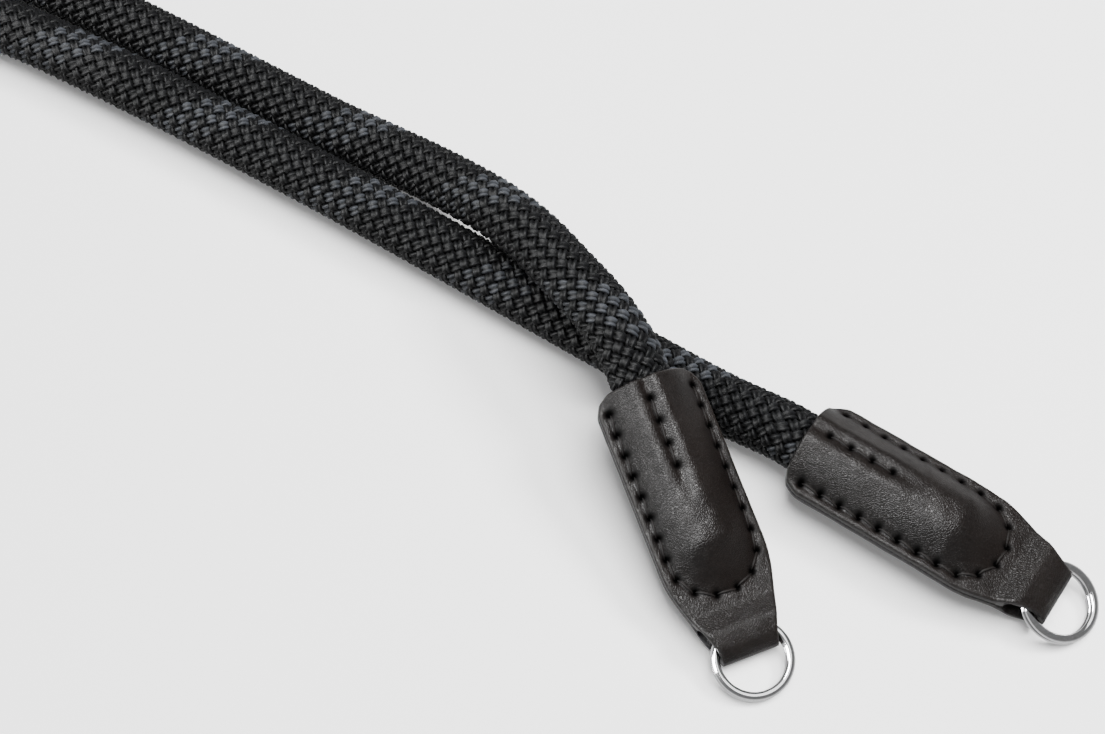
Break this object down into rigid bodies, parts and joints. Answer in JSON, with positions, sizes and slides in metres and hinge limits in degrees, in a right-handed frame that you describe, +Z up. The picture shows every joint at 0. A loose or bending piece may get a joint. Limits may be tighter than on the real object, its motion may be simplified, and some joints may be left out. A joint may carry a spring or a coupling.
{
  "type": "rope camera strap",
  "caption": "Round braided rope strap with a folded leather tab sewn over each end and a split steel ring in the fold of each tab, lying doubled.",
  "frame": {"origin": "on the table, under the middle of the box round the two tabs and their rings", "axes": "+X along the doubled rope towards the tabs, +Z up from the table"},
  "size_m": [0.4649, 0.0628, 0.0207],
  "materials": {
    "rope": "matte braid, near black with a lighter helical band",
    "leather": "satin, fine grain, very dark brown",
    "steel": "polished"
  },
  "bodies": {
    "strap": {"rope": "rope", "end_tab_1": "leather", "end_tab_2": "leather"},
    "ring_1": {"split_ring_1": "steel"},
    "ring_2": {"split_ring_2": "steel"}
  },
  "joints": [
    {"name": "ring_1_swing", "type": "hinge", "parent": "strap", "child": "ring_1", "pos_m": [-0.00354, -0.01638, 0.00277], "axis": [-0.599, -0.8007, 0], "range_deg": [0, 10]},
    {"name": "ring_2_swing", "type": "hinge", "parent": "strap", "child": "ring_2", "pos_m": [0.03167, 0.01419, 0.00398], "axis": [-0.0401, -0.9992, 0], "range_deg": [0, 16]}
  ]
}
